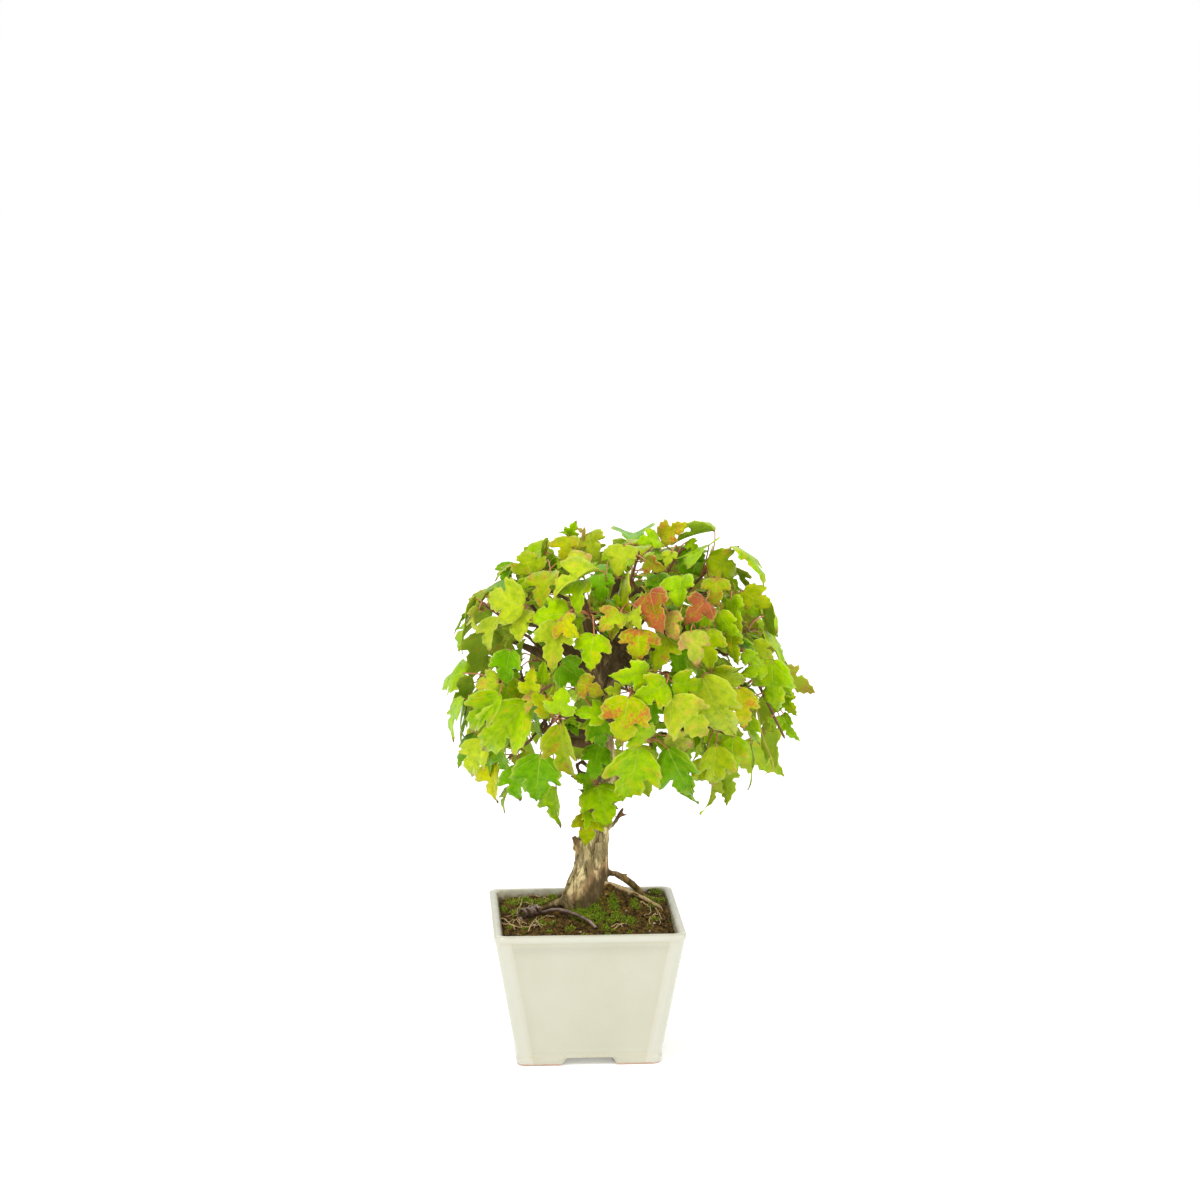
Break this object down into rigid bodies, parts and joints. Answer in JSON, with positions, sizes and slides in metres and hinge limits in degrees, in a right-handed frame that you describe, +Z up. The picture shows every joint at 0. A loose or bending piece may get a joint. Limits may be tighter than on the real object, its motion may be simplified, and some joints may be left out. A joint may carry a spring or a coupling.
{
  "type": "potted bonsai maple tree",
  "caption": "Small three-lobed maple grown as a bonsai: rounded yellow-green crown on a short flared trunk, in a square tapered cream-glazed pot with notched feet.",
  "frame": {"origin": "on the ground under the middle of the bounding box", "axes": "+Z up; the front of the tree, the side the picture shows, faces -Y"},
  "size_m": [0.2594, 0.2472, 0.3692],
  "materials": {
    "glaze": "cream-white crackle-free gloss glaze, pinkish bare clay along the foot",
    "mesh_plastic": "black moulded plastic mesh",
    "potting_soil": "dark brown loose potting soil with moss",
    "bark": "grey-brown flaking bark, darker and damp at the roots",
    "wire": "purplish-brown anodised training wire, satin",
    "leaf_green": "fresh yellow-green leaf, matt",
    "leaf_olive": "olive-green leaf, matt",
    "leaf_pale": "pale green leaf, matt",
    "leaf_orange": "orange-yellow autumn leaf, matt",
    "leaf_red": "brick-red autumn leaf, matt",
    "leaf_pink": "pinkish autumn leaf, matt",
    "leaf_yellow": "yellow-green autumn leaf, matt"
  },
  "bodies": {
    "root": {"pot": "glaze", "drain_mesh": "mesh_plastic", "soil": "potting_soil", "wood": "bark", "root_wire": "wire", "spray_front_01": "leaf_green", "spray_front_02": "leaf_green", "spray_front_03": "leaf_olive", "spray_front_04": "leaf_green", "spray_front_05": "leaf_green", "spray_front_06": "leaf_green", "spray_front_07": "leaf_green", "spray_front_08": "leaf_olive", "spray_front_09": "leaf_pale", "spray_front_10": "leaf_orange", "spray_front_11": "leaf_red", "spray_front_12": "leaf_green", "spray_front_13": "leaf_olive", "spray_front_14": "leaf_green", "spray_front_15": "leaf_green", "spray_front_16": "leaf_pink", "spray_front_17": "leaf_green", "spray_front_18": "leaf_orange", "spray_front_19": "leaf_pale", "spray_front_20": "leaf_green", "spray_front_21": "leaf_green", "spray_front_22": "leaf_green", "spray_front_23": "leaf_green", "spray_front_24": "leaf_green", "spray_front_25": "leaf_green", "spray_front_26": "leaf_green", "spray_front_27": "leaf_pale", "spray_front_28": "leaf_green", "spray_front_29": "leaf_green", "spray_front_30": "leaf_yellow", "spray_front_31": "leaf_green", "spray_front_32": "leaf_green", "spray_back_01": "leaf_green", "spray_back_02": "leaf_olive", "spray_back_03": "leaf_green", "spray_back_04": "leaf_pale", "spray_back_05": "leaf_green", "spray_back_06": "leaf_yellow", "spray_back_07": "leaf_green", "spray_back_08": "leaf_orange", "spray_back_09": "leaf_green", "spray_back_10": "leaf_olive", "spray_back_11": "leaf_green", "spray_back_12": "leaf_pale", "spray_back_13": "leaf_green", "spray_back_14": "leaf_yellow", "spray_back_15": "leaf_green", "spray_back_16": "leaf_orange", "spray_back_17": "leaf_green", "spray_back_18": "leaf_olive", "spray_back_19": "leaf_green", "spray_back_20": "leaf_pale", "spray_back_21": "leaf_green", "spray_back_22": "leaf_yellow"}
  },
  "joints": []
}
